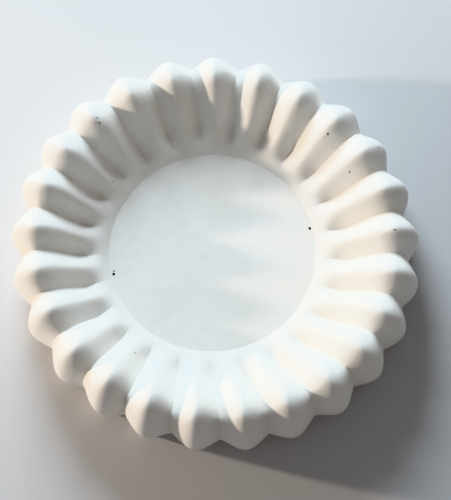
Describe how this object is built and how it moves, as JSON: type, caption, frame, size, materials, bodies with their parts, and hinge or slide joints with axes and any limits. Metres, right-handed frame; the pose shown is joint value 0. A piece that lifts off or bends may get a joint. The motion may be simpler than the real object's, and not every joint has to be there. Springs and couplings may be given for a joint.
{
  "type": "plaster slump mold",
  "caption": "Round plaster slump mold: a shallow dish with a flat well and a gadrooned wall of rounded lobes, for shaping a fluted clay platter.",
  "frame": {"origin": "centre of the flat back, which the mold lies on", "axes": "+Z out of the back and up through the open dish; +Y through the crest of a lobe; +X to the right with +Y up"},
  "size_m": [0.3996, 0.3986, 0.078],
  "materials": {
    "face_plaster": "matte",
    "backing_plaster": "matte",
    "hessian": "matte",
    "galvanised_wire": "satin"
  },
  "bodies": {
    "root": {"face_coat": "face_plaster", "backing_coat": "backing_plaster", "well_scrim": "hessian", "wall_scrim": "hessian", "well_hoop": "galvanised_wire", "rim_hoop": "galvanised_wire", "spoke_1": "galvanised_wire", "spoke_2": "galvanised_wire", "spoke_3": "galvanised_wire", "spoke_4": "galvanised_wire", "spoke_5": "galvanised_wire", "spoke_6": "galvanised_wire"}
  },
  "joints": []
}
